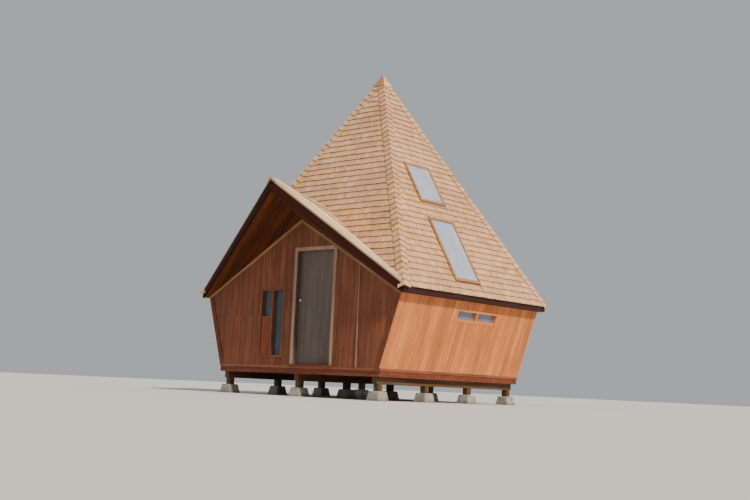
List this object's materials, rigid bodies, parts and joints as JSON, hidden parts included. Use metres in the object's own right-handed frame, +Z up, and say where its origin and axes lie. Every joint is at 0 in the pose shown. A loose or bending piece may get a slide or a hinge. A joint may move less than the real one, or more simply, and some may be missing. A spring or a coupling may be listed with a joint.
{
  "type": "prow-gabled pyramid-roof timber cabin",
  "caption": "Small timber cabin with side walls leaning outward, a steep shingled pyramid roof with roof windows, a pointed prow gable over a hinged door, standing on piers",
  "frame": {"origin": "middle of the footprint at the level of the ground, under the piers", "axes": "+X to the right seen from the front, +Y from the front door towards the back, +Z up"},
  "size_m": [4.7, 4.57, 5.8196],
  "materials": {
    "wall_boards": "red-brown stained boards",
    "dark_trim": "dark red-brown stain",
    "pale_trim": "light unpainted wood",
    "soffit_boards": "clear-coated boards",
    "shingles": "weathered split wood shingles",
    "floor_boards": "planed boards",
    "framing": "rough sawn timber",
    "concrete": "cast concrete",
    "window_glass": "clear glass",
    "door_paint": "grey-brown paint",
    "knob_metal": "dull metal"
  },
  "bodies": {
    "cabin": {"piers": "concrete", "posts": "framing", "floor_beams": "framing", "rim_boards": "wall_boards", "joists": "framing", "floor_deck": "floor_boards", "front_wall_left": "wall_boards", "front_wall_right": "wall_boards", "front_wall_over_door": "wall_boards", "back_wall": "wall_boards", "left_wall": "wall_boards", "right_wall": "wall_boards", "corner_boards_front": "dark_trim", "corner_boards_back": "dark_trim", "roof_front": "shingles", "roof_back": "shingles", "roof_left": "shingles", "roof_right": "shingles", "apex_cap": "pale_trim", "prow_roof_left": "shingles", "prow_roof_right": "shingles", "prow_soffit_left": "soffit_boards", "prow_soffit_right": "soffit_boards", "prow_fascia_left": "dark_trim", "prow_fascia_right": "dark_trim", "prow_edge_cap_left": "pale_trim", "prow_edge_cap_right": "pale_trim", "prow_ridge_cap": "pale_trim", "eave_trim_left": "dark_trim", "eave_trim_right": "dark_trim", "eave_trim_back": "dark_trim", "front_window_frame": "wall_boards", "front_window_glass": "window_glass", "side_window_frames": "wall_boards", "side_window_glass": "window_glass", "skylight_frames": "pale_trim", "skylight_glass": "window_glass", "door_frame": "pale_trim", "door_sill": "dark_trim", "door_hinge_pins": "knob_metal"},
    "door": {"door_leaf": "door_paint", "door_knobs": "knob_metal", "door_hinges": "knob_metal"}
  },
  "joints": [
    {"name": "door_hinge", "type": "hinge", "parent": "cabin", "child": "door", "pos_m": [0.789, -1.385, 1.468], "axis": [0, 0, -1], "range_deg": [0, 95]}
  ]
}
